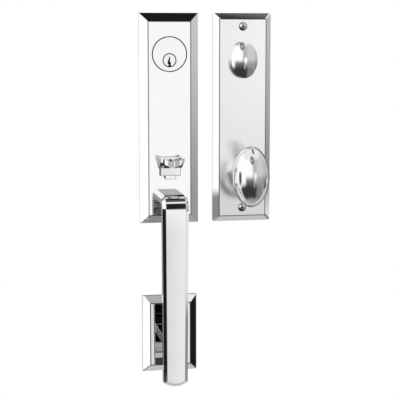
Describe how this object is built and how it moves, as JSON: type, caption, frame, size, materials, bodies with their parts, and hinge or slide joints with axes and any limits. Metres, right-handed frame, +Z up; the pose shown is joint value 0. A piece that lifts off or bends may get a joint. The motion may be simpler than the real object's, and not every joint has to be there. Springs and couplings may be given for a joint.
{
  "type": "entry door handleset",
  "caption": "Polished entry door handleset: bevelled exterior plate with lock cylinder, thumbpiece and squared grip on a rosette, and interior plate with egg knob and oval thumbturn.",
  "frame": {"origin": "on the axis of the key plug, at the back of the exterior plate, which lies on the face of the door", "axes": "+Z up, -Y out of the door towards the viewer, +X to the right seen from the front; the interior trim stands 92 mm to the right with its back in the same plane"},
  "size_m": [0.1654, 0.1425, 0.4559],
  "materials": {
    "polished_trim": "polished",
    "rosette_metal": "polished",
    "grip_metal": "polished",
    "thumbpiece_metal": "polished",
    "cylinder_metal": "satin face",
    "plug_metal": "satin face",
    "interior_trim": "polished",
    "knob_metal": "polished",
    "turn_metal": "polished",
    "screw_metal": "polished",
    "bush_nylon": "moulded",
    "washer_nylon": "moulded",
    "pin_brass": "turned",
    "plated_steel": "zinc plated"
  },
  "bodies": {
    "trim": {"exterior_plate": "polished_trim", "lower_rosette": "rosette_metal", "grip": "grip_metal", "grip_washer": "plated_steel", "grip_screw": "plated_steel", "bottom_stud": "plated_steel", "through_posts": "plated_steel", "lock_cylinder": "cylinder_metal", "pin_cap": "pin_brass", "driver_pins": "pin_brass", "pin_springs": "plated_steel", "cylinder_clamp": "plated_steel", "clamp_screws": "plated_steel", "thumb_pivot_pin": "plated_steel", "thumb_spring": "plated_steel", "interior_plate": "interior_trim", "plate_screws": "screw_metal", "knob_bush": "bush_nylon", "turn_washer": "washer_nylon"},
    "plug": {"key_plug": "plug_metal", "plug_clip": "plated_steel", "cylinder_tailpiece": "plated_steel", "bottom_pins": "pin_brass"},
    "thumb": {"thumbpiece": "thumbpiece_metal"},
    "knob": {"egg_knob": "knob_metal", "knob_set_screw": "plated_steel", "knob_spindle": "plated_steel", "knob_clip": "plated_steel"},
    "turn": {"thumbturn": "turn_metal", "turn_clip": "plated_steel", "turn_tailpiece": "plated_steel"}
  },
  "joints": [
    {"name": "key_turn", "type": "hinge", "parent": "trim", "child": "plug", "pos_m": [0, 0, 0], "axis": [0, 1, 0], "range_deg": [0, 90]},
    {"name": "thumb_press", "type": "hinge", "parent": "trim", "child": "thumb", "pos_m": [0, -0.0032, -0.138], "axis": [1, 0, 0], "range_deg": [0, 16], "stiffness_Nm_per_rad": 0.25, "springref_deg": -20.05},
    {"name": "knob_turn", "type": "hinge", "parent": "trim", "child": "knob", "pos_m": [0.092, 0, -0.1397], "axis": [0, 1, 0], "range_deg": [-50, 50], "stiffness_Nm_per_rad": 0.4},
    {"name": "thumbturn_turn", "type": "hinge", "parent": "trim", "child": "turn", "pos_m": [0.092, 0, 0], "axis": [0, 1, 0], "range_deg": [0, 90]}
  ]
}
